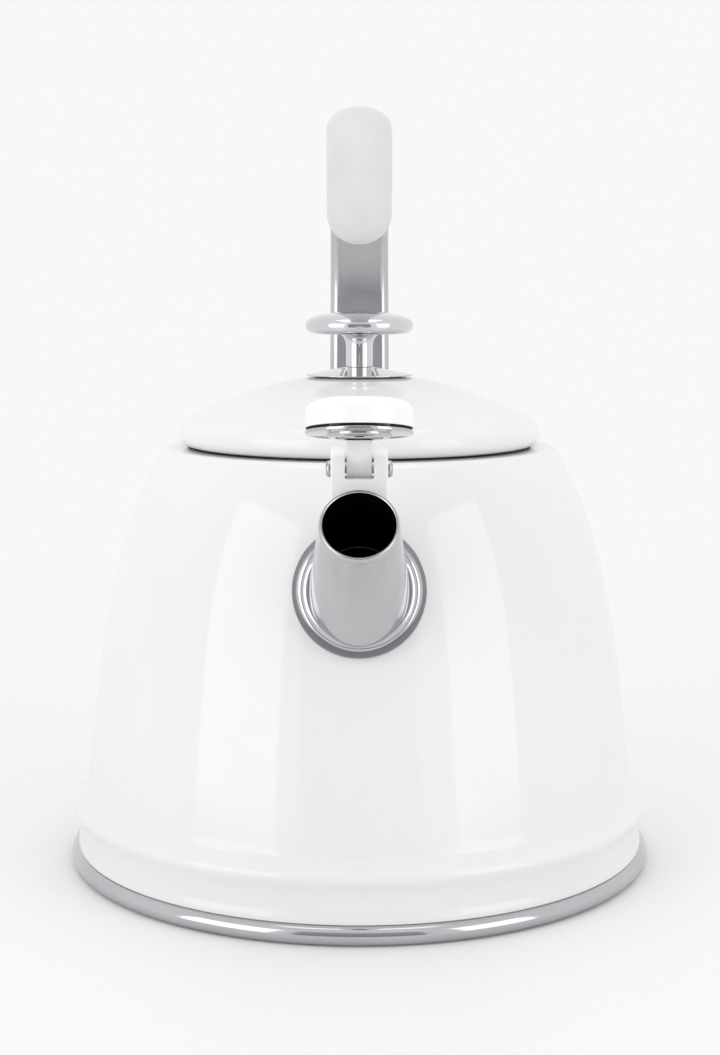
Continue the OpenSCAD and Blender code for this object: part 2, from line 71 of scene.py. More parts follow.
def add(tree, kind, settings, links=None):
    """Adds a node. Settings are properties or inputs by name, links are inputs by name."""
    node = tree.nodes.new(kind)
    for name, value in settings.items():
        if hasattr(node, name):
            setattr(node, name, value)
        else:
            node.inputs[name].default_value = value
    for name, output in (links or {}).items():
        tree.links.new(output, node.inputs[name])
    return node


def new_finish(name, **surface):
    """A material with its surface shader, and the piece's own coordinates in metres."""
    finish = bpy.data.materials.new(name)
    finish.use_nodes = True
    tree = finish.node_tree
    shader = tree.nodes["Principled BSDF"]
    for socket, value in surface.items():
        shader.inputs[socket.replace("_", " ")].default_value = value
    place = add(tree, "ShaderNodeTexCoord", {}).outputs["Object"]
    return finish, tree, shader, place


def per_metre(size_mm):
    """The noise scale that makes its features about this size."""
    return 1 / (size_mm * MM)


def two_tone(tree, shader, place, size_mm, dark, light):
    """Colour that drifts between two close tones in patches of a real size."""
    drift = add(
        tree, "ShaderNodeTexNoise", {"Scale": per_metre(size_mm), "Detail": 3}, {"Vector": place})
    blend = add(tree, "ShaderNodeValToRGB", {}, {"Fac": drift.outputs["Fac"]})
    blend.color_ramp.elements[0].position = 0.35
    blend.color_ramp.elements[0].color = linear(dark)
    blend.color_ramp.elements[1].position = 0.65
    blend.color_ramp.elements[1].color = linear(light)
    tree.links.new(blend.outputs["Color"], shader.inputs["Base Color"])


def gloss_range(tree, shader, pattern, smooth, rough):
    """Roughness that follows a pattern between two values."""
    span = add(
        tree, "ShaderNodeMapRange",
        {"From Min": 0.3, "From Max": 0.7, "To Min": smooth, "To Max": rough}, {"Value": pattern})
    tree.links.new(span.outputs["Result"], shader.inputs["Roughness"])


def relief(tree, shader, pattern, depth_mm, strength):
    """Bump from a pattern, with its real depth."""
    bump = add(
        tree, "ShaderNodeBump", {"Strength": strength, "Distance": depth_mm * MM}, {"Height": pattern})
    tree.links.new(bump.outputs["Normal"], shader.inputs["Normal"])


def white_enamel():
    """Porcelain enamel: glass frit sprayed on and fired, a hard gloss with a faint orange peel."""
    finish, tree, shader, place = new_finish("white_porcelain_enamel", IOR=1.52)
    two_tone(tree, shader, place, 70, "#E3E3E2", "#E6E6E5")
    peel = add(tree, "ShaderNodeTexNoise", {"Scale": per_metre(4), "Detail": 2}, {"Vector": place})
    gloss_range(tree, shader, peel.outputs["Fac"], 0.05, 0.09)
    relief(tree, shader, peel.outputs["Fac"], 0.02, 0.25)
    return finish


def inside_finish_painted_shade():
    """Dull near-black with paler specks, standing as the enamel's dark ground coat on the inside faces;
    its near-black is painted shade for the dark hollow of the kettle and the spout's bore.
    """
    finish, tree, shader, place = new_finish("inside_coat_painted_shade", Specular_IOR_Level=0.04)
    specks = add(tree, "ShaderNodeTexVoronoi", {"Scale": per_metre(2.5)}, {"Vector": place})
    blend = add(tree, "ShaderNodeValToRGB", {}, {"Fac": specks.outputs["Distance"]})
    blend.color_ramp.elements[0].position = 0.05
    blend.color_ramp.elements[0].color = linear("#141417")
    blend.color_ramp.elements[1].position = 0.16
    blend.color_ramp.elements[1].color = linear("#050506")
    tree.links.new(blend.outputs["Color"], shader.inputs["Base Color"])
    gloss_range(tree, shader, specks.outputs["Distance"], 0.6, 0.8)
    return finish


def arc(centre, radius, start, end, steps):
    """Points on an arc between two angles in degrees, both ends included."""
    angles = [math.radians(start + (end - start) * i / steps) for i in range(steps + 1)]
    return [(centre[0] + radius * math.cos(a), centre[1] + radius * math.sin(a)) for a in angles]


def spread(start, end, steps):
    """Even steps between two values, both ends included."""
    return [start + (end - start) * i / steps for i in range(steps + 1)]


def ease(share):
    return (1 - math.cos(math.pi * min(max(share, 0), 1))) / 2


def inner_face(path, thickness):
    """The other face of a sheet whose metal lies to the left of the path."""
    face = []
    for i, (r, z) in enumerate(path):
        before, after = path[max(i - 1, 0)], path[min(i + 1, len(path) - 1)]
        run, rise = after[0] - before[0], after[1] - before[1]
        length = math.hypot(run, rise)
        face.append((r - thickness * rise / length, z + thickness * run / length))
    return face


def skinned(name, rings, looped=False, place=None, lining=()):
    """Joins rings of points in millimetres into a smooth closed skin. A looped skin runs from
    the last ring back to the first, and any other is closed at both ends. The lining is the
    rings whose faces take the second finish."""
    points = [[c * MM for c in point] for ring in rings for point in ring]
    count, faces, finishes = len(rings[0]), [], []
    for i in range(len(rings) if looped else len(rings) - 1):
        a, b = i * count, (i + 1) % len(rings) * count
        for j in range(count):
            k = (j + 1) % count
            faces.append((a + j, a + k, b + k, b + j))
            finishes.append(1 if i in lining else 0)
    if not looped:
        faces += [tuple(range(count))[::-1], tuple(range(len(points) - count, len(points)))]
        finishes += [0, 0]
    mesh = bpy.data.meshes.new(name)
    mesh.from_pydata(points, [], faces)
    mesh.polygons.foreach_set("material_index", finishes)
    work = bmesh.new()
    work.from_mesh(mesh)
    bmesh.ops.remove_doubles(work, verts=work.verts, dist=1e-7)
    bmesh.ops.recalc_face_normals(work, faces=work.faces)
    work.to_mesh(mesh)
    work.free()
    piece = bpy.data.objects.new(name, mesh)
    bpy.context.scene.collection.objects.link(piece)
    if place:
        piece.matrix_world = place
    return smoothed(piece)


SHARP_EDGE = math.radians(38)


def smoothed(piece):
    """Smooth shading that breaks only at real edges."""
    piece.data.shade_smooth()
    piece.data.set_sharp_from_angle(angle=SHARP_EDGE)
    return piece


def turned(name, outline, steps=192, place=None, lining=()):
    """Spins a closed outline of radius and height round the Z axis."""
    turns = [(math.cos(a), math.sin(a)) for a in spread(0, 2 * math.pi, steps)[:-1]]
    rings = [[(r * c, r * s, z) for c, s in turns] for r, z in outline]
    return skinned(name, rings, looped=True, place=place, lining=lining)


def worked(piece, tool, operation="DIFFERENCE"):
    """Cuts a piece with a tool, or joins the two, and clears the tool away."""
    step = piece.modifiers.new("work", "BOOLEAN")
    step.object, step.operation, step.solver = tool, operation, "EXACT"
    bpy.context.view_layer.update()
    graph = bpy.context.evaluated_depsgraph_get()
    shape = bpy.data.meshes.new_from_object(piece.evaluated_get(graph))
    piece.modifiers.clear()
    piece.data = shape
    bpy.data.objects.remove(tool)
    return smoothed(piece)


def fitted(piece, body, slot, finishes, *nodes):
    """Gives a piece its finishes. It rides on a body and stands for its solids. Its slot is not used.
    """
    for finish in finishes:
        piece.data.materials.append(finish)
    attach(piece, body)
    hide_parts(*nodes)


ring_r = corners("base_cap")[1].x
ring_h = corners("base_cap")[1].z
seat_h = corners("body_shell")[1].z
bead_r = corners("body_shell")[1].x
lid_r = corners("lid_shell")[1].x

waist_r = ring_r - 2.8
waist_z = ring_h + 4
foot_flare = 0.6
foot_edge = 0.8
bead_z = 19.6
bead_blend = 6.2
bead_step = 4.4
shoulder_out = 6.2
shoulder_drop = 2
wall_foot_z = bead_z + 5.2
wall_foot_r = bead_r - bead_step
wall_top_z = seat_h - shoulder_drop
wall_top_r = lid_r + shoulder_out
wall_share = 0.504
wall_t = 1.5
neck_lap = 6.1
neck_r = lid_r - neck_lap
neck_bend = 2
neck_depth = 7


def wall_r(z):
    """Radius of the leaning wall: an even taper, with more and more of a curve near the top."""
    u = (z - wall_foot_z) / (wall_top_z - wall_foot_z)
    return wall_foot_r - (wall_foot_r - wall_top_r) * (wall_share * u + (1 - wall_share) * u ** 4)


def wall_tilt(z):
    """Lean of the wall from upright, in radians."""
    return math.atan(wall_r(z - 0.5) - wall_r(z + 0.5))


shoulder_a = wall_tilt(wall_top_z)
shoulder_r = (seat_h - wall_top_z) / (1 - math.sin(shoulder_a))
shoulder_mid = (wall_top_r - shoulder_r * math.cos(shoulder_a), seat_h - shoulder_r)
crest_out = bead_r - wall_r(bead_z)

outside = [(waist_r + foot_flare - 0.25, ring_h), (waist_r + foot_flare, ring_h + 0.25)]
outside += [
    (waist_r + foot_flare * ease(1 - t), ring_h + foot_edge + (waist_z - ring_h - foot_edge) * t)
    for t in spread(0, 1, 8)]
outside += [
    (waist_r + (bead_r - waist_r) * ease(t * t), waist_z + (bead_z - waist_z) * t)
    for t in spread(0, 1, 14)[1:]]
outside += [
    (wall_r(z) + crest_out * (1 - ease((z - bead_z) / bead_blend)), z)
    for z in spread(bead_z, bead_z + bead_blend, 12)[1:]]
outside += [(wall_r(z), z) for z in spread(bead_z + bead_blend, wall_top_z, 44)[1:-1]]
outside += arc(shoulder_mid, shoulder_r, math.degrees(shoulder_a), 90, 12)
outside += arc((neck_r + neck_bend, seat_h - neck_bend), neck_bend, 90, 180, 8)
outside += [(neck_r, seat_h - neck_depth)]
inside = inner_face(outside, wall_t)

# The inside faces take the dark coat: painted shade for the kettle's dark hollow.
body = turned(
    "enamelled_body", outside + inside[::-1], steps=256,
    lining=range(len(outside), 2 * len(outside) - 10))

# The spout's frame: +Z runs out along the tube from the mouth, whose place hangs on the hinge
spout_rise = math.radians(36.5)
spout_tilt = math.pi / 2 - spout_rise
spout_len = 42.3
spout_drop = 36.3
spout_taper = 0.097
mouth_r = 10.7
tube_t = 0.9
hinge = next(joint for joint in frame["joints"] if joint["name"] == "whistle_hinge")
pin_y, pin_z = (c / MM for c in hinge["pos_m"][1:])
pin_up = mouth_r + 10.5
pin_back = 7.25
mouth_y = pin_y - pin_up * math.sin(spout_rise) - pin_back * math.cos(spout_rise)
mouth_z = pin_z - pin_up * math.cos(spout_rise) + pin_back * math.sin(spout_rise)


def at(x, y, z):
    """A place in millimetres as a matrix."""
    return Matrix.Translation((x * MM, y * MM, z * MM))


along_spout = at(0, mouth_y, mouth_z) @ Matrix.Rotation(spout_tilt, 4, "X")


def spout_cone(extra, back, front, steps=160):
    """A cutter: the spout's outer cone grown by extra, between two heights on its axis."""
    outline = [(0, back), (mouth_r + extra - back * spout_taper, back)]
    outline += [(mouth_r + extra - front * spout_taper, front), (0, front)]
    return turned("cutter", outline, steps, along_spout)


body = worked(body, spout_cone(-tube_t, -64, -10))
enamel = white_enamel()
inside_coat_and_shade = inside_finish_painted_shade()
fitted(body, "kettle", "white_enamel", [enamel, inside_coat_and_shade], "body_shell")


# --- Capsule base ---------------------------------------------------------------------
# A polished stainless cap with a half-round edge is pressed over an aluminium heat disc and
# brazed to the floor pan. Three turned grooves let the cap move as it heats.

def turning_marks(tree, place, pitch_mm):
    """Fine rings left round the piece's own axis by polishing, as a noise pattern."""
    parts = add(tree, "ShaderNodeSeparateXYZ", {}, {"Vector": place})
    flat = add(
        tree, "ShaderNodeCombineXYZ", {}, {"X": parts.outputs["X"], "Y": parts.outputs["Y"]})
    out = add(tree, "ShaderNodeVectorMath", {"operation": "LENGTH"}, {"Vector": flat.outputs["Vector"]})
    ring = add(
        tree, "ShaderNodeCombineXYZ", {},
        {"X": out.outputs["Value"], "Y": parts.outputs["Z"]})
    return add(
        tree, "ShaderNodeTexNoise", {"Scale": per_metre(pitch_mm), "Detail": 4},
        {"Vector": ring.outputs["Vector"]}).outputs["Fac"]


def polished_steel(name, dark="#BEBEC2", light="#C4C4C8", smooth=0.07, rough=0.13):
    """Stainless steel polished on a wheel: a grey mirror with rings finer than a hair."""
    finish, tree, shader, place = new_finish(name, Metallic=1)
    two_tone(tree, shader, place, 25, dark, light)
    marks = turning_marks(tree, place, 0.35)
    gloss_range(tree, shader, marks, smooth, rough)
    relief(tree, shader, marks, 0.003, 0.15)
    return finish


ring_arc = ring_h / 2
ring_mid_r = ring_r - ring_arc
skin_t = 0.8
pan_r = corners("base_pan")[1].x
groove_r = 0.4
groove_shares = (0.32, 0.58, 0.84)

underside = [(0, 0)]
for share in groove_shares:
    underside += arc((ring_mid_r * share, 0), groove_r, 180, 0, 8)
base_outline = underside + arc((ring_mid_r, ring_arc), ring_arc, -90, 90, 24)
base_outline += [(pan_r + 0.05, ring_h), (pan_r + 0.05, ring_h - skin_t)]
base_outline += arc((ring_mid_r, ring_arc), ring_arc - skin_t, 90, -90, 16) + [(0, skin_t)]
foot_ring = turned("capsule_base", base_outline, steps=256)
steel = polished_steel("polished_stainless_steel")
fitted(foot_ring, "kettle", "polished_steel", [steel], "base_cap")


def dressed(node, finish):
    """Gives a carried-over solid its finish."""
    mesh = frame["nodes"][node].data
    mesh.materials.clear()
    mesh.materials.append(finish)


def cast_aluminium():
    """Die-cast aluminium: pale grey with a fine sandy skin from the mould."""
    finish, tree, shader, place = new_finish("cast_aluminium", Metallic=1)
    two_tone(tree, shader, place, 12, "#B4B6B8", "#C2C4C6")
    grain = add(tree, "ShaderNodeTexNoise", {"Scale": per_metre(0.6), "Detail": 5}, {"Vector": place})
    gloss_range(tree, shader, grain.outputs["Fac"], 0.4, 0.6)
    relief(tree, shader, grain.outputs["Fac"], 0.03, 0.5)
    return finish


dressed("heat_disc", cast_aluminium())
# The floor pan inside takes the dark coat: painted shade for the kettle's hollow.
dressed("base_pan", inside_coat_and_shade)


# --- Spout ----------------------------------------------------------------------------
# A straight tube of polished stainless, tapered on a mandrel and welded to the wall over its
# port. The mouth's edge is rounded, and the bore takes the same near-black coat as the inside,
# painted shade for the dark seen down the tube.

def run_to_wall(point_at, near, far, depth):
    """Where a line enters the body's wall by a depth, found by halving its range."""
    for _ in range(40):
        middle = (near + far) / 2
        x, y, z = point_at(middle)
        if math.hypot(x, y) > wall_r(z) - depth:
            near = middle
        else:
            far = middle
    return near


def on_spout(radius, turn, height):
    """A point in the row frame from the spout's own frame, in millimetres."""
    local = Vector((radius * math.cos(turn), radius * math.sin(turn), height)) * MM
    return along_spout @ local / MM


def tube_line(turn, skin):
    """One line along the tube: outside from the wall to the lip, round it, and back inside."""
    weld_depth, lip_z = 0.3, -0.3
    lip_r = tube_t / 2

    def outer(s):
        return on_spout(mouth_r + s * spout_taper, turn, -s)

    def bore(s):
        return on_spout(mouth_r - tube_t + s * spout_taper, turn, -s)

    root = run_to_wall(outer, 5, 64, weld_depth)
    line = [outer(s) for s in spread(root, lip_r - lip_z, skin)]
    line += [
        on_spout(mouth_r - lip_r + r, turn, lip_z - lip_r + z)
        for r, z in arc((0, 0), lip_r, 20, 160, 7)]
    deep = run_to_wall(bore, 5, 64, weld_depth)
    return line + [bore(s) for s in spread(lip_r - lip_z, deep, skin)]


tube_rows = 28
tube_turns = spread(0, 2 * math.pi, 192)[:-1]
tube_lines = [tube_line(turn, tube_rows) for turn in tube_turns]
tube_rings = [list(ring) for ring in zip(*tube_lines)]
# The bore's rings take the dark coat: painted shade down the tube.
spout = skinned(
    "spout_tube_polished", tube_rings, looped=True, lining=range(tube_rows + 9, len(tube_rings)))
fitted(spout, "kettle", "polished_steel", [steel, inside_coat_and_shade], "spout_tube")


# --- Spout collar ---------------------------------------------------------------------
# A pressed stainless flange, polished, that hides the weld. It lies square to the wall: a
# flat band outside and a raised bead round the tube.

collar_out = 4.6
collar_r = mouth_r + spout_len * spout_taper + collar_out
collar_z = seat_h - spout_drop + 1.2
collar_t = 1.7
collar_band = 2.6
collar_bead = 2.2
collar_edge = 0.25
weld_r = 0.35
collar_lean = math.pi / 2 - wall_tilt(collar_z)
on_collar = at(0, -wall_r(collar_z), collar_z) @ Matrix.Rotation(collar_lean, 4, "X")
off_spout = along_spout.inverted()


def collar_point(turn, radius, height):
    local = Vector((radius * math.cos(turn), radius * math.sin(turn), height)) * MM
    return on_collar @ local / MM


def into_tube(point):
    """How far a point lies inside the tube's outer skin."""
    local = off_spout @ (point * MM) / MM
    return mouth_r - local.z * spout_taper - math.hypot(local.x, local.y)


def collar_line(turn, back_steps):
    """One radial cut of the flange: back on the wall, then the edge, band, bead and weld."""
    crest_z = collar_t + collar_bead
    inner = collar_r
    while into_tube(collar_point(turn, inner, crest_z)) < weld_r:
        inner -= 0.02
    low = inner
    while into_tube(collar_point(turn, low, collar_t / 2)) < weld_r:
        low -= 0.02

    def back(radius):
        depth = run_to_wall(lambda s: collar_point(turn, radius, -s), -2, 8, 0.3)
        return collar_point(turn, radius, -depth)

    bead_mid = collar_r - collar_band - collar_bead
    line = [back(r) for r in spread(low, collar_r, back_steps)]
    line += [
        collar_point(turn, r, z)
        for r, z in arc((collar_r - collar_edge, collar_t - collar_edge), collar_edge, 0, 90, 6)]
    line += [
        collar_point(turn, r, z)
        for r, z in [(bead_mid + collar_bead + 0.5, collar_t)]
        + arc((bead_mid, collar_t), collar_bead, 8, 90, 12)]
    line += [collar_point(turn, r, crest_z) for r in spread(bead_mid, inner, 4)[1:]]
    return line


collar_lines = [collar_line(turn, 6) for turn in spread(0, 2 * math.pi, 192)[:-1]]
collar = skinned("spout_collar_polished", [list(ring) for ring in zip(*collar_lines)], looped=True)
fitted(collar, "kettle", "polished_steel", [steel], "spout_collar")


# --- Hinge bracket --------------------------------------------------------------------
# Glossy white ABS, moulded as a clevis: two round-topped ears on a saddle that sits on the
# tube. One screw in the slot's floor holds it to a boss, and a steel pin crosses the ears.

def moulded_white():
    """Injection-moulded ABS: bright white, a little softer in gloss than the enamel."""
    finish, tree, shader, place = new_finish("white_moulded_abs", IOR=1.54)
    two_tone(tree, shader, place, 15, "#EDEDEC", "#F1F1F0")
    skin = add(tree, "ShaderNodeTexNoise", {"Scale": per_metre(0.8), "Detail": 3}, {"Vector": place})
    gloss_range(tree, shader, skin.outputs["Fac"], 0.14, 0.22)
    relief(tree, shader, skin.outputs["Fac"], 0.006, 0.3)
    return finish


def rounded_bar(name, outline_at, width, edge, steps=4):
    """A moulding cut from bar along X: its side outline, drawn in by an inset, is rounded
    off by an edge radius at both ends."""
    half = width / 2
    ends = [
        (half - edge + edge * math.sin(a), edge * (1 - math.cos(a)))
        for a in spread(0, math.pi / 2, steps)]
    layers = [(-x, inset) for x, inset in ends[::-1]] + ends
    rings = [[(x, y, z) for y, z in outline_at(inset)] for x, inset in layers]
    return skinned(name, rings)


pin_r = 1.25
run_gap = 0.05
knuckle_r = pin_r + 2
ear_r = 6
trough_r = knuckle_r + 0.3
slot_w = 7.9
bracket_w = corners("hinge_bracket")[1].x * 2
arm_front = 2.1
lip_z = pin_z - arm_front - 0.15
saddle_z = corners("hinge_bracket")[0].z


def bracket_side(inset):
    """Side outline: a half-round top over straight sides."""
    top = arc((pin_y, pin_z), ear_r - inset, 0, 180, 24)
    return top + [(pin_y - ear_r + inset, saddle_z), (pin_y + ear_r - inset, saddle_z)]


def block(name, low, high):
    """A square-cornered cutter between two corners."""
    ring = [(low[1], low[2]), (high[1], low[2]), (high[1], high[2]), (low[1], high[2])]
    return skinned(name, [[(x, y, z) for y, z in ring] for x in (low[0], high[0])])


def cross_rod(name, radius, half_length):
    """A plain rod along the hinge line, used as a cutter."""
    place = at(0, pin_y, pin_z) @ Matrix.Rotation(math.pi / 2, 4, "Y")
    outline = [(0, -half_length), (radius, -half_length), (radius, half_length), (0, half_length)]
    return turned(name, outline, 48, place)


bracket = rounded_bar("hinge_bracket_moulded", bracket_side, bracket_w, 0.5)
slot_low = (-slot_w / 2, pin_y - 2 * ear_r, lip_z)
slot_high = (slot_w / 2, pin_y + 2 * ear_r, pin_z + 2 * ear_r)
bracket = worked(bracket, block("cutter", slot_low, slot_high))
bracket = worked(bracket, cross_rod("cutter", trough_r, slot_w / 2))
bracket = worked(bracket, spout_cone(-0.1, -40, 10))
bracket = worked(bracket, cross_rod("cutter", pin_r + run_gap, 20))
white_abs = moulded_white()
fitted(bracket, "kettle", "white_moulding", [white_abs], "hinge_bracket")


def satin_steel():
    """Stainless fasteners, barrel-tumbled: a satin grey with soft edges."""
    finish, tree, shader, place = new_finish("tumbled_stainless", Metallic=1)
    two_tone(tree, shader, place, 2, "#A9AAAE", "#BDBEC2")
    grain = add(tree, "ShaderNodeTexNoise", {"Scale": per_metre(0.25), "Detail": 4}, {"Vector": place})
    gloss_range(tree, shader, grain.outputs["Fac"], 0.2, 0.34)
    relief(tree, shader, grain.outputs["Fac"], 0.005, 0.3)
    return finish


head_r = 2.33
head_t = 1.4
head_round = 1.0
half_pin = [(pin_r, bracket_w / 2 - 0.1), (head_r, bracket_w / 2 - 0.02)]
half_pin += arc((head_r - head_round, bracket_w / 2 + head_t - head_round), head_round, 0, 84, 8)
half_pin += [(0, bracket_w / 2 + head_t)]
pin_outline = half_pin + [(r, -z) for r, z in half_pin[::-1]]
pin_place = at(0, pin_y, pin_z) @ Matrix.Rotation(math.pi / 2, 4, "Y")
hinge_pin = turned("hinge_pin_domed", pin_outline, 64, pin_place)
fastener = satin_steel()
fitted(hinge_pin, "kettle", "fastener_steel", [fastener], "hinge_pin")


def socket_screw(name, head, head_height, shank, length, drive, place):
    """A domed screw with a hexagonal socket: head outside, shank down -Z from its seat."""
    def hexagon(turn):
        return drive / 2 / math.cos((turn + math.pi / 6) % (math.pi / 3) - math.pi / 6)

    edge = min(head * 0.35, head_height * 0.6)
    profile = [(0, -length), (shank - 0.2, -length), (shank, -length + 0.2), (shank, 0), (head, 0)]
    profile += arc((head - edge, head_height - edge), edge, 0, 80, 6)
    turns = spread(0, 2 * math.pi, 72)[:-1]
    rings = [[(r * math.cos(t), r * math.sin(t), z) for t in turns] for r, z in profile]
    for extra, z in ((0.15, head_height), (0, head_height - 0.15), (0, head_height * 0.35)):
        rings.append([
            ((hexagon(t) + extra) * math.cos(t), (hexagon(t) + extra) * math.sin(t), z)
            for t in turns])
    rings.append([(0, 0, head_height * 0.35)] * len(turns))
    return skinned(name, rings, looped=True, place=place)


small_head_t = 1.6
screw_seat = corners("bracket_screw")[1].z - small_head_t
bracket_screw = socket_screw(
    "bracket_screw_socket", head=2.6, head_height=small_head_t, shank=1.4, length=3.4, drive=2,
    place=at(0, pin_y, screw_seat))
fitted(bracket_screw, "kettle", "fastener_steel", [fastener], "bracket_screw")
dressed("spout_boss", fastener)


# --- Whistle --------------------------------------------------------------------------
# A white moulded cap with its hinge arm in one piece, flipped open over the mouth. Flush pins
# hold a polished plate under it, across a dark gap for steam, with a shallow cup on the plate.

rest_tilt = spout_tilt - math.radians(hinge["range_deg"][1])
on_whistle = (
    at(0, pin_y, pin_z) @ Matrix.Rotation(rest_tilt, 4, "X") @ at(0, -pin_up, pin_back))

cap_r = mouth_r + 3.6
cap_h = 7.3
cap_round = 3.4
plate_t = 0.9
steam_gap = 0.7
cap_z = plate_t + steam_gap
cap_top = cap_z + cap_h
chamber_r = cap_r - 5.8
spigot_in = chamber_r + 0.2
spigot_out = cap_r - 1.2
button_r = 5.6
button_sink = 0.6
arm_w = 7
arm_end_t = 2
arm_end = (cap_r - 1.7, cap_z + cap_h * 0.47)
plate_room = 0.3


def dark_silicone():
    """Moulded silicone rubber for the lid's seal: dark grey and dusty dull, its darkness partly painted
    shade for the shadow line at the lid's joint; on the cap's faces round the steam gap it is painted
    shade only.
    """
    finish, tree, shader, place = new_finish("seal_rubber_and_painted_gap_shade", IOR=1.41)
    two_tone(tree, shader, place, 8, "#1E1E20", "#28282A")
    grain = add(tree, "ShaderNodeTexNoise", {"Scale": per_metre(0.4), "Detail": 4}, {"Vector": place})
    gloss_range(tree, shader, grain.outputs["Fac"], 0.55, 0.75)
    relief(tree, shader, grain.outputs["Fac"], 0.02, 0.5)
    return finish


def arm_side(inset):
    """Side outline of the arm in the whistle's frame: round the knuckle, then flat to the cap."""
    run, rise = arm_end[0] - pin_up, arm_end[1] + pin_back
    reach = math.hypot(run, rise)
    off = (-rise / reach, run / reach)
    back_a = math.degrees(math.atan2(-off[1], -off[0]))
    sweep = 90 + math.degrees(math.asin(arm_front / knuckle_r))
    front, back = arm_front - inset, arm_end_t - inset
    return arc((pin_up, -pin_back), knuckle_r - inset, back_a, back_a - sweep, 24) + [
        (arm_end[0] + front * off[0], arm_end[1] + front * off[1]),
        (arm_end[0] - back * off[0], arm_end[1] - back * off[1])]


seal_rubber_gap_shade = dark_silicone()
cap_outline = [(0, cap_top - button_sink), (button_r + 0.1, cap_top - button_sink)]
cap_outline += [(button_r + 0.1, cap_top - 0.1), (button_r + 0.2, cap_top)]
cap_outline += arc((cap_r - cap_round, cap_top - cap_round), cap_round, 90, 0, 16)
cap_outline += arc((cap_r - 0.3, cap_z + 0.3), 0.3, 0, -90, 4)
cap_outline += [(spigot_out, cap_z), (spigot_out, plate_t + 0.02), (spigot_in, plate_t + 0.02)]
cap_outline += [(chamber_r, cap_z + 3), (0, cap_z + 3)]
# The lining faces round the steam gap take the dark rubber finish: painted shade in the gap.
cap = turned("whistle_cap_moulded", cap_outline[::-1], 160, lining=range(2, 6))
arm = rounded_bar("arm", arm_side, arm_w, 0.25)
arm = worked(arm, turned("cutter", [(0, -cap_r), (cap_r + plate_room, -cap_r),
                                    (cap_r + plate_room, cap_z), (0, cap_z)], 160))
cap = worked(cap, arm, "UNION")
for turn in (0, 60, 120):
    outlet = block("cutter", (-spigot_out - 1, -1.5, plate_t - 1), (spigot_out + 1, 1.5, cap_z))
    outlet.matrix_world = Matrix.Rotation(math.radians(turn), 4, "Z")
    cap = worked(cap, outlet)
bore_place = at(0, pin_up, -pin_back) @ Matrix.Rotation(math.pi / 2, 4, "Y")
bore_outline = [(0, -5), (pin_r + run_gap, -5), (pin_r + run_gap, 5), (0, 5)]
cap = worked(cap, turned("cutter", bore_outline, 48, bore_place))
cap.matrix_world = on_whistle
fitted(cap, "whistle", "white_moulding", [white_abs, seal_rubber_gap_shade], "whistle_cap")

hole_r = 1.5
plate_outline = [(hole_r, 0)] + arc((cap_r - 0.3, 0.3), 0.3, -90, 0, 5)
plate_outline += arc((cap_r - 0.2, plate_t - 0.2), 0.2, 0, 90, 4) + [(hole_r, plate_t)]
plate = turned("whistle_plate_polished", plate_outline, 160, on_whistle)
fitted(plate, "whistle", "polished_steel", [steel], "whistle_plate")

drum_r = mouth_r - tube_t - 1.3
drum_core_r = drum_r - 1.9
drum_t = 0.35
drum_h = 0.9
drum_sink = 0.4
drum_path = [(hole_r, drum_sink - drum_h), (drum_core_r - 0.35, drum_sink - drum_h)]
drum_path += [(drum_core_r - 0.3, drum_sink - drum_h - 0.03), (drum_core_r, 0.03 - drum_h)]
drum_path += arc((drum_r - 0.7, 0.7 - drum_h), 0.7, -86, 0, 8) + [(drum_r, 0.02)]
drum = turned(
    "whistle_drum_pressed", drum_path + inner_face(drum_path, drum_t)[::-1], 128, on_whistle)
fitted(drum, "whistle", "polished_steel", [steel], "whistle_drum")

rivet_r = 0.7
rivet_at = cap_r - 3.4
rivet_foot, rivet_top = 0.01, cap_z + 2.9
rivet_outline = [(0, rivet_foot), (rivet_r, rivet_foot), (rivet_r, rivet_top), (0, rivet_top)]
for turn in (90, 210, 330):
    rivet_place = (
        on_whistle @ Matrix.Rotation(math.radians(turn), 4, "Z") @ at(rivet_at, 0, 0))
    rivet = turned("plate_rivet_%d" % turn, rivet_outline, 32, rivet_place)
    fitted(rivet, "whistle", "fastener_steel", [steel], "plate_rivets")

button_t = 0.7
button_outline = [(0, -button_sink), (button_r, -button_sink)]
button_outline += arc((button_r - 0.5, button_t - 0.5), 0.5, 0, 78, 6) + [(0, button_t)]
button = turned("cap_button_polished", button_outline, 96, on_whistle @ at(0, 0, cap_top))
fitted(button, "whistle", "polished_steel", [steel], "cap_button")


# --- Handle post ----------------------------------------------------------------------
# A zinc casting in satin chrome: it rises from the back wall in a long curve and turns over
# into the arch. Its back is oval, and its front slightly hollow between two rounded edges.

def chrome_plate(name, dark, light, smooth, rough):
    """Chromium plate over nickel: a grey mirror, as soft as the metal under it was left."""
    finish, tree, shader, place = new_finish(name, Metallic=1)
    two_tone(tree, shader, place, 20, dark, light)
    wipe = add(tree, "ShaderNodeTexNoise", {"Scale": per_metre(6), "Detail": 4}, {"Vector": place})
    gloss_range(tree, shader, wipe.outputs["Fac"], smooth, rough)
    relief(tree, shader, wipe.outputs["Fac"], 0.004, 0.1)
    return finish


arch_r = 62
arch_rise = 41.3
arch_z = seat_h + arch_rise
root_drop = 23
root_z = seat_h - root_drop
post_out = 17.7
post_root_gap = 4.3
arch_y = wall_r(root_z) + post_out - arch_r
post_swing = post_out - post_root_gap
post_arc_r = ((arch_z - root_z) ** 2 + post_swing ** 2) / (2 * post_swing)
joint_a = math.radians(32)
end_a = math.radians(149)
post_w = 22.6
post_t = 13.5
post_corner = 3.4
post_hollow = 0.45
post_taper = 0.07


def on_handle(s, out, across):
    """A point s along the handle from the arch's back, out from its centre line and across."""
    bend = arch_r if s >= 0 else post_arc_r
    turn = s / bend
    reach = bend + out
    return Vector((
        across,
        arch_y + arch_r - bend + reach * math.cos(turn),
        arch_z + reach * math.sin(turn)))


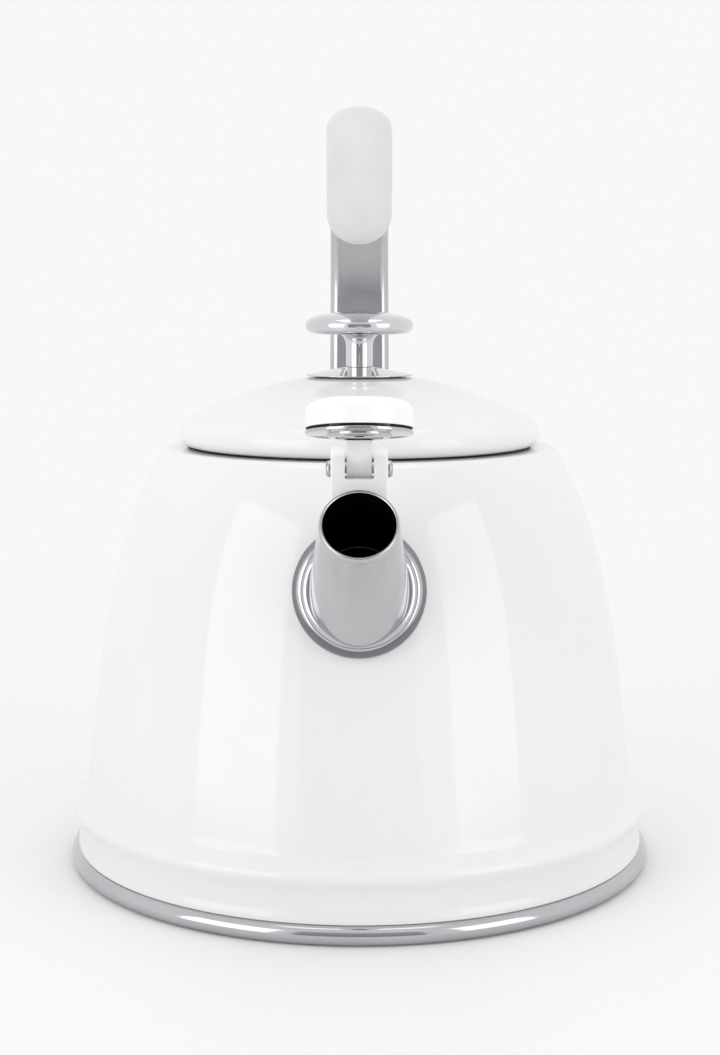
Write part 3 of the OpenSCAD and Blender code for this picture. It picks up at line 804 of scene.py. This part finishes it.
def post_section():
    """Section of the post: out along the thickness, and across."""
    corner_out, corner_across = -post_t / 2 + post_corner, post_w / 2 - post_corner
    back = [
        (post_t / 2 * math.cos(a), post_w / 2 * math.sin(a))
        for a in spread(-math.pi / 2, math.pi / 2, 24)]
    front = [
        (-post_t / 2 + post_hollow * math.sin(math.pi * t), corner_across * (1 - 2 * t))
        for t in spread(0, 1, 12)[1:-1]]
    return (
        back + arc((corner_out, corner_across), post_corner, 90, 180, 10)
        + front + arc((corner_out, -corner_across), post_corner, 180, 270, 10))


def post_line(out, across, steps):
    """One line up the post: from inside the wall's skin to the joint with the grip."""
    root = run_to_wall(lambda s: on_handle(-s, out, across), 10, 110, 0.3)
    top = arch_r * joint_a
    return [
        on_handle(s, out, across * (1 - post_taper * (s + root) / (top + root)))
        for s in spread(-root, top, steps)]


post_lines = [post_line(out, across, 64) for out, across in post_section()]
post = skinned("handle_post_chromed", [list(ring) for ring in zip(*post_lines)])
satin_chrome = chrome_plate("satin_chrome_plate", "#BFC0C2", "#C6C7C9", 0.2, 0.26)
fitted(post, "kettle", "chrome", [satin_chrome], "handle_post")
dressed("handle_lug", fastener)


def post_back(z):
    """Distance of the post's back from the body's axis at a height."""
    reach = post_arc_r + post_t / 2
    return arch_y + arch_r - post_arc_r + math.sqrt(reach ** 2 - (arch_z - z) ** 2)


screw_recess = 1.4
for number, z in enumerate((root_z - 6.5, root_z + 1.5)):
    lean = math.asin((arch_z - z) / (post_arc_r + post_t / 2))
    handle_screw = socket_screw(
        "handle_screw_%d" % (number + 1), head=3.6, head_height=2, shank=1.75, length=9, drive=3,
        place=at(0, post_back(z) - screw_recess, z)
        @ Matrix.Rotation(-math.pi / 2 - lean, 4, "X"))
    fitted(handle_screw, "kettle", "fastener_steel", [fastener], "handle_screws")


# --- Handle grip ----------------------------------------------------------------------
# A white nylon core overmoulded with a matt soft-touch skin. The arch is oval in section,
# widest at the post, and ends free in a half-round nose over the spout side.

def soft_touch():
    """Soft-touch thermoplastic rubber: matt, with a fine moulded grain and a faint bloom."""
    finish, tree, shader, place = new_finish("white_soft_touch", IOR=1.48, Sheen_Weight=0.15)
    two_tone(tree, shader, place, 30, "#CFCFCE", "#D3D3D2")
    grain = add(tree, "ShaderNodeTexNoise", {"Scale": per_metre(0.5), "Detail": 5}, {"Vector": place})
    gloss_range(tree, shader, grain.outputs["Fac"], 0.42, 0.55)
    relief(tree, shader, grain.outputs["Fac"], 0.02, 0.4)
    return finish


grip_t = 14.3
grip_back_w = 22.8
grip_narrows = (1.6, 1.2)
grip_tip_w = grip_back_w - sum(grip_narrows)
joint_edge = 0.5
joint_gap = 0.15


def grip_ring(s, scale, straight=0):
    """A ring of the grip at s along the arch, or past its end by a straight run."""
    share = (min(s, arch_r * end_a) / arch_r - joint_a) / (end_a - joint_a)
    half_w = (grip_back_w - grip_narrows[0] * share - grip_narrows[1] * share ** 2) / 2 * scale
    half_t = grip_t / 2 * scale
    ring = []
    for a in spread(0, 2 * math.pi, 72)[:-1]:
        point = on_handle(s, half_t * math.cos(a), half_w * math.sin(a))
        ahead = Vector((0, -math.sin(s / arch_r), math.cos(s / arch_r)))
        ring.append(point + ahead * straight)
    return ring


grip_start = arch_r * joint_a + joint_gap
grip_end = arch_r * end_a
nose = grip_tip_w / 2
grip_rings = [
    grip_ring(grip_start + joint_edge * (1 - math.cos(a)), 1 - joint_edge / 9 * (1 - math.sin(a)))
    for a in spread(0, math.pi / 2, 5)]
grip_rings += [grip_ring(s, 1) for s in spread(grip_start + joint_edge, grip_end, 96)[1:]]
grip_rings += [
    grip_ring(grip_end, math.cos(a), nose * math.sin(a)) for a in spread(0, math.pi / 2, 20)[1:]]
grip = skinned("handle_grip_moulded", grip_rings)
fitted(grip, "kettle", "soft_touch", [soft_touch()], "handle_grip")

grip_screw_a = joint_a + math.radians(12)
screw_reach = arch_r - grip_t / 2 + 0.3
screw_under = at(
    0, arch_y + screw_reach * math.cos(grip_screw_a),
    arch_z + screw_reach * math.sin(grip_screw_a))
grip_screw = socket_screw(
    "grip_screw_socket", head=2.6, head_height=0.9, shank=1.4, length=6, drive=2,
    place=screw_under @ Matrix.Rotation(grip_screw_a + math.pi / 2, 4, "X"))
fitted(grip_screw, "kettle", "fastener_steel", [fastener], "grip_screw")


# --- Lid ------------------------------------------------------------------------------
# The same enamelled steel, drawn to a low dome with a full rolled rim. A steel skirt under
# it finds the neck, and a silicone ring keeps the enamel faces apart.

rim_low_r = 3.65
rim_high_r = 5.5
rim_lip = 1.2
seal_h = 0.5
lid_t = 1.2
rim_z = seat_h + seal_h + rim_low_r
dome_z = corners("lid_shell")[1].z
dome_edge_a = math.radians(28)
dome_edge_r = lid_r - rim_high_r * (1 - math.sin(dome_edge_a))
dome_drop = dome_z - rim_z - rim_high_r * math.cos(dome_edge_a)
dome_r = (dome_edge_r ** 2 + dome_drop ** 2) / (2 * dome_drop)


def dome_height(r):
    return dome_z - dome_r + math.sqrt(dome_r ** 2 - r ** 2)


knob_hole_r = 2.2
lid_path = [(lid_r - rim_low_r - rim_lip, rim_z - rim_low_r)]
lid_path += arc((lid_r - rim_low_r, rim_z), rim_low_r, -90, 0, 14)
lid_path += arc((lid_r - rim_high_r, rim_z), rim_high_r, 5, 90 - math.degrees(dome_edge_a), 12)
lid_path += [(r, dome_height(r)) for r in spread(dome_edge_r, knob_hole_r, 40)[1:]]
# The underside takes the dark coat: painted shade under the lid.
lid = turned(
    "enamelled_lid", lid_path + inner_face(lid_path, lid_t)[::-1], 256,
    lining=range(len(lid_path) + 1, 2 * len(lid_path) - 8))
fitted(lid, "lid", "white_enamel", [enamel, inside_coat_and_shade], "lid_shell")
dressed("lid_skirt", steel)


seal_low, seal_high = corners("lid_seal")
seal_in = neck_r - 0.55
seal_mid_z = (seal_low.z + seal_high.z) / 2
seal_edge = (seal_high.z - seal_low.z) / 2
seal_outline = [(seal_in, seal_low.z)]
seal_outline += arc((seal_high.x - seal_edge, seal_mid_z), seal_edge, -90, 90, 8)
seal_outline += [(seal_in, seal_high.z)]
# The seal's dark grey also paints the shadow line at the lid's joint.
seal = turned("lid_seal_ring", seal_outline, 192)
fitted(seal, "lid", "dark_silicone", [seal_rubber_gap_shade], "lid_seal")


# --- Knob -----------------------------------------------------------------------------
# Three chromed brass turnings, clamped through the lid by one screw from below: a shallow
# dish with a thin edge, a stem that flares at its top, and a thick rounded disc.

dish_r = corners("knob_base")[1].x
dish_z = dome_z
dish_h = 2.1
stem_r = 4.3
stem_z = dish_z + dish_h
disc_r = corners("knob_disc")[1].x
disc_z = corners("knob_disc")[0].z
disc_t = 7.1
disc_low = 2.9
flare_r = 7
flare_h = 4

chrome = chrome_plate("bright_chrome_plate", "#D2D3D6", "#D9DADD", 0.03, 0.06)
dish_outline = [(knob_hole_r, dish_z), (5, dish_z), (dish_r - 0.5, dish_z - 0.6)]
dish_outline += arc((dish_r - 0.2, dish_z - 0.4), 0.2, -70, 90, 6)
dish_outline += [
    (dish_r - 0.4 - (dish_r - 0.4 - stem_r) * t, dish_z - 0.2 + (dish_h + 0.2) * t)
    for t in spread(0, 1, 24)]
dish_outline += [(knob_hole_r, stem_z)]
dish = turned("knob_dish", dish_outline, 160)
fitted(dish, "lid", "chrome", [chrome], "knob_base")

stem_outline = [(0, stem_z), (stem_r - 0.2, stem_z), (stem_r, stem_z + 0.2)]
stem_outline += [
    (flare_r - (flare_r - stem_r) * math.cos(a), disc_z - flare_h * (1 - math.sin(a)))
    for a in spread(0, math.pi / 2, 20)]
stem_outline += [(3, disc_z), (3, disc_z + 2.5), (0, disc_z + 2.5)]
stem = turned("knob_stem_flared", stem_outline, 128)
fitted(stem, "lid", "chrome", [chrome], "knob_stem")

disc_outline = [(0, disc_z + 2.55), (3.05, disc_z + 2.55), (3.05, disc_z)]
disc_outline += arc((disc_r - disc_low, disc_z + disc_low), disc_low, -90, 0, 16)
disc_outline += [
    (disc_r * math.cos(a) ** 0.8, disc_z + disc_low + (disc_t - disc_low) * math.sin(a) ** 0.9)
    for a in spread(math.radians(3), math.radians(88), 40)]
disc_outline += [(0, disc_z + disc_t)]
disc = turned("knob_disc_rounded", disc_outline, 192)
fitted(disc, "lid", "chrome", [chrome], "knob_disc")

dressed("knob_washer", fastener)
knob_head_t = 2.4
screw_head_z = corners("knob_screw")[0].z
knob_screw = socket_screw(
    "knob_screw_socket", head=4, head_height=knob_head_t, shank=2, length=7, drive=3,
    place=at(0, 0, screw_head_z + knob_head_t) @ Matrix.Rotation(math.pi, 4, "X"))
fitted(knob_screw, "lid", "fastener_steel", [fastener], "knob_screw")


# --- Studio ---------------------------------------------------------------------------
# White surroundings and a white floor that fades into them. Tall softboxes left and right of
# the camera, one above, and a grey card behind it give the metal something to mirror.

def staged(name, size, place, finish):
    """A flat card of the studio, which is no part of the kettle."""
    mesh = bpy.data.meshes.new(name)
    w, h = size[0] / 2, size[1] / 2
    mesh.from_pydata([(-w, -h, 0), (w, -h, 0), (w, h, 0), (-w, h, 0)], [], [(0, 1, 2, 3)])
    mesh.materials.append(finish)
    card = bpy.data.objects.new(name, mesh)
    bpy.context.scene.collection.objects.link(card)
    card.matrix_world = place
    return card


def facing(place, target):
    """A matrix at a place whose +Z faces a target."""
    turn = (Vector(target) - Vector(place)).to_track_quat("Z", "Y")
    return Matrix.Translation(place) @ turn.to_matrix().to_4x4()


def floor_finish():
    """Seamless white paper: matt, and faded out towards its edge into the white beyond."""
    finish = bpy.data.materials.new("white_paper_sweep")
    finish.use_nodes = True
    tree = finish.node_tree
    tree.nodes.clear()
    place = add(tree, "ShaderNodeTexCoord", {}).outputs["Object"]
    out = add(tree, "ShaderNodeVectorMath", {"operation": "LENGTH"}, {"Vector": place})
    fade = add(
        tree, "ShaderNodeMapRange",
        {"From Min": 0.16, "From Max": 0.7, "interpolation_type": "SMOOTHSTEP"},
        {"Value": out.outputs["Value"]})
    fibre = add(tree, "ShaderNodeTexNoise", {"Scale": per_metre(3), "Detail": 4}, {"Vector": place})
    tint = add(tree, "ShaderNodeValToRGB", {}, {"Fac": fibre.outputs["Fac"]})
    tint.color_ramp.elements[0].color = linear("#ECECEB")
    tint.color_ramp.elements[1].color = linear("#F0F0EF")
    paper = add(tree, "ShaderNodeBsdfDiffuse", {}, {"Color": tint.outputs["Color"]})
    clear = add(tree, "ShaderNodeBsdfTransparent", {})
    mixed = add(tree, "ShaderNodeMixShader", {}, {"Fac": fade.outputs["Result"]})
    tree.links.new(paper.outputs["BSDF"], mixed.inputs[1])
    tree.links.new(clear.outputs["BSDF"], mixed.inputs[2])
    add(tree, "ShaderNodeOutputMaterial", {}, {"Surface": mixed.outputs["Shader"]})
    return finish


def card_finish(name, low, high, strength):
    """A card that glows evenly from one grey at its bottom to another at its top."""
    finish = bpy.data.materials.new(name)
    finish.use_nodes = True
    tree = finish.node_tree
    tree.nodes.clear()
    place = add(tree, "ShaderNodeTexCoord", {}).outputs["Generated"]
    parts = add(tree, "ShaderNodeSeparateXYZ", {}, {"Vector": place})
    ramp = add(tree, "ShaderNodeValToRGB", {}, {"Fac": parts.outputs["Y"]})
    ramp.color_ramp.elements[0].color = linear(low)
    ramp.color_ramp.elements[1].color = linear(high)
    glow = add(tree, "ShaderNodeEmission", {"Strength": strength}, {"Color": ramp.outputs["Color"]})
    add(tree, "ShaderNodeOutputMaterial", {}, {"Surface": glow.outputs["Emission"]})
    return finish


staged("paper_floor", (4, 4), Matrix.Identity(4), floor_finish())

grey_card = staged(
    "grey_card", (1.7, 2.4), facing((0, -1.9, 0.5), (0, 0, 0.5)),
    card_finish("grey_card_glow", "#808083", "#C4C4C6", 1))
grey_card.visible_camera = False


def softbox(name, place, size, glow):
    """A softbox facing the kettle, its face of an even brightness from its area and power."""
    light = bpy.data.lights.new(name, "AREA")
    light.shape = "RECTANGLE"
    light.size, light.size_y = size
    light.energy = glow * math.pi * size[0] * size[1]
    lamp = bpy.data.objects.new(name, light)
    bpy.context.scene.collection.objects.link(lamp)
    turn = (Vector((0, 0, 0.12)) - Vector(place)).to_track_quat("-Z", "Y")
    lamp.matrix_world = Matrix.Translation(place) @ turn.to_matrix().to_4x4()
    lamp.visible_camera = False
    return lamp


softbox("softbox_left", (-0.88, -0.74, 0.3), (0.75, 1.1), 1.35)
softbox("softbox_right", (0.9, -0.71, 0.3), (0.6, 1.1), 1.3)
softbox("softbox_top", (0, 0.1, 1.4), (0.9, 0.9), 0.95)
front_fill = softbox("front_fill", (0, -1.3, 0.1), (0.9, 0.6), 0.85)
front_fill.visible_glossy = False

world = bpy.data.worlds.new("white_studio")
world.use_nodes = True
world.node_tree.nodes["Background"].inputs["Color"].default_value = linear("#F8F8F8")
bpy.context.scene.world = world
bpy.context.scene.view_settings.view_transform = "Standard"


# --- Camera ---------------------------------------------------------------------------
# Level with the lid, square to the spout and close in, looking slightly down.

lens = bpy.data.cameras.new("camera")
lens.lens = 61.46
lens.sensor_width = 36
camera = bpy.data.objects.new("camera", lens)
bpy.context.scene.collection.objects.link(camera)
camera_pitch = math.radians(7.6)
camera.matrix_world = (
    Matrix.Translation((0.00019, -0.585, 0.1859))
    @ Matrix.Rotation(math.pi / 2 - camera_pitch, 4, "X"))
bpy.context.scene.camera = camera
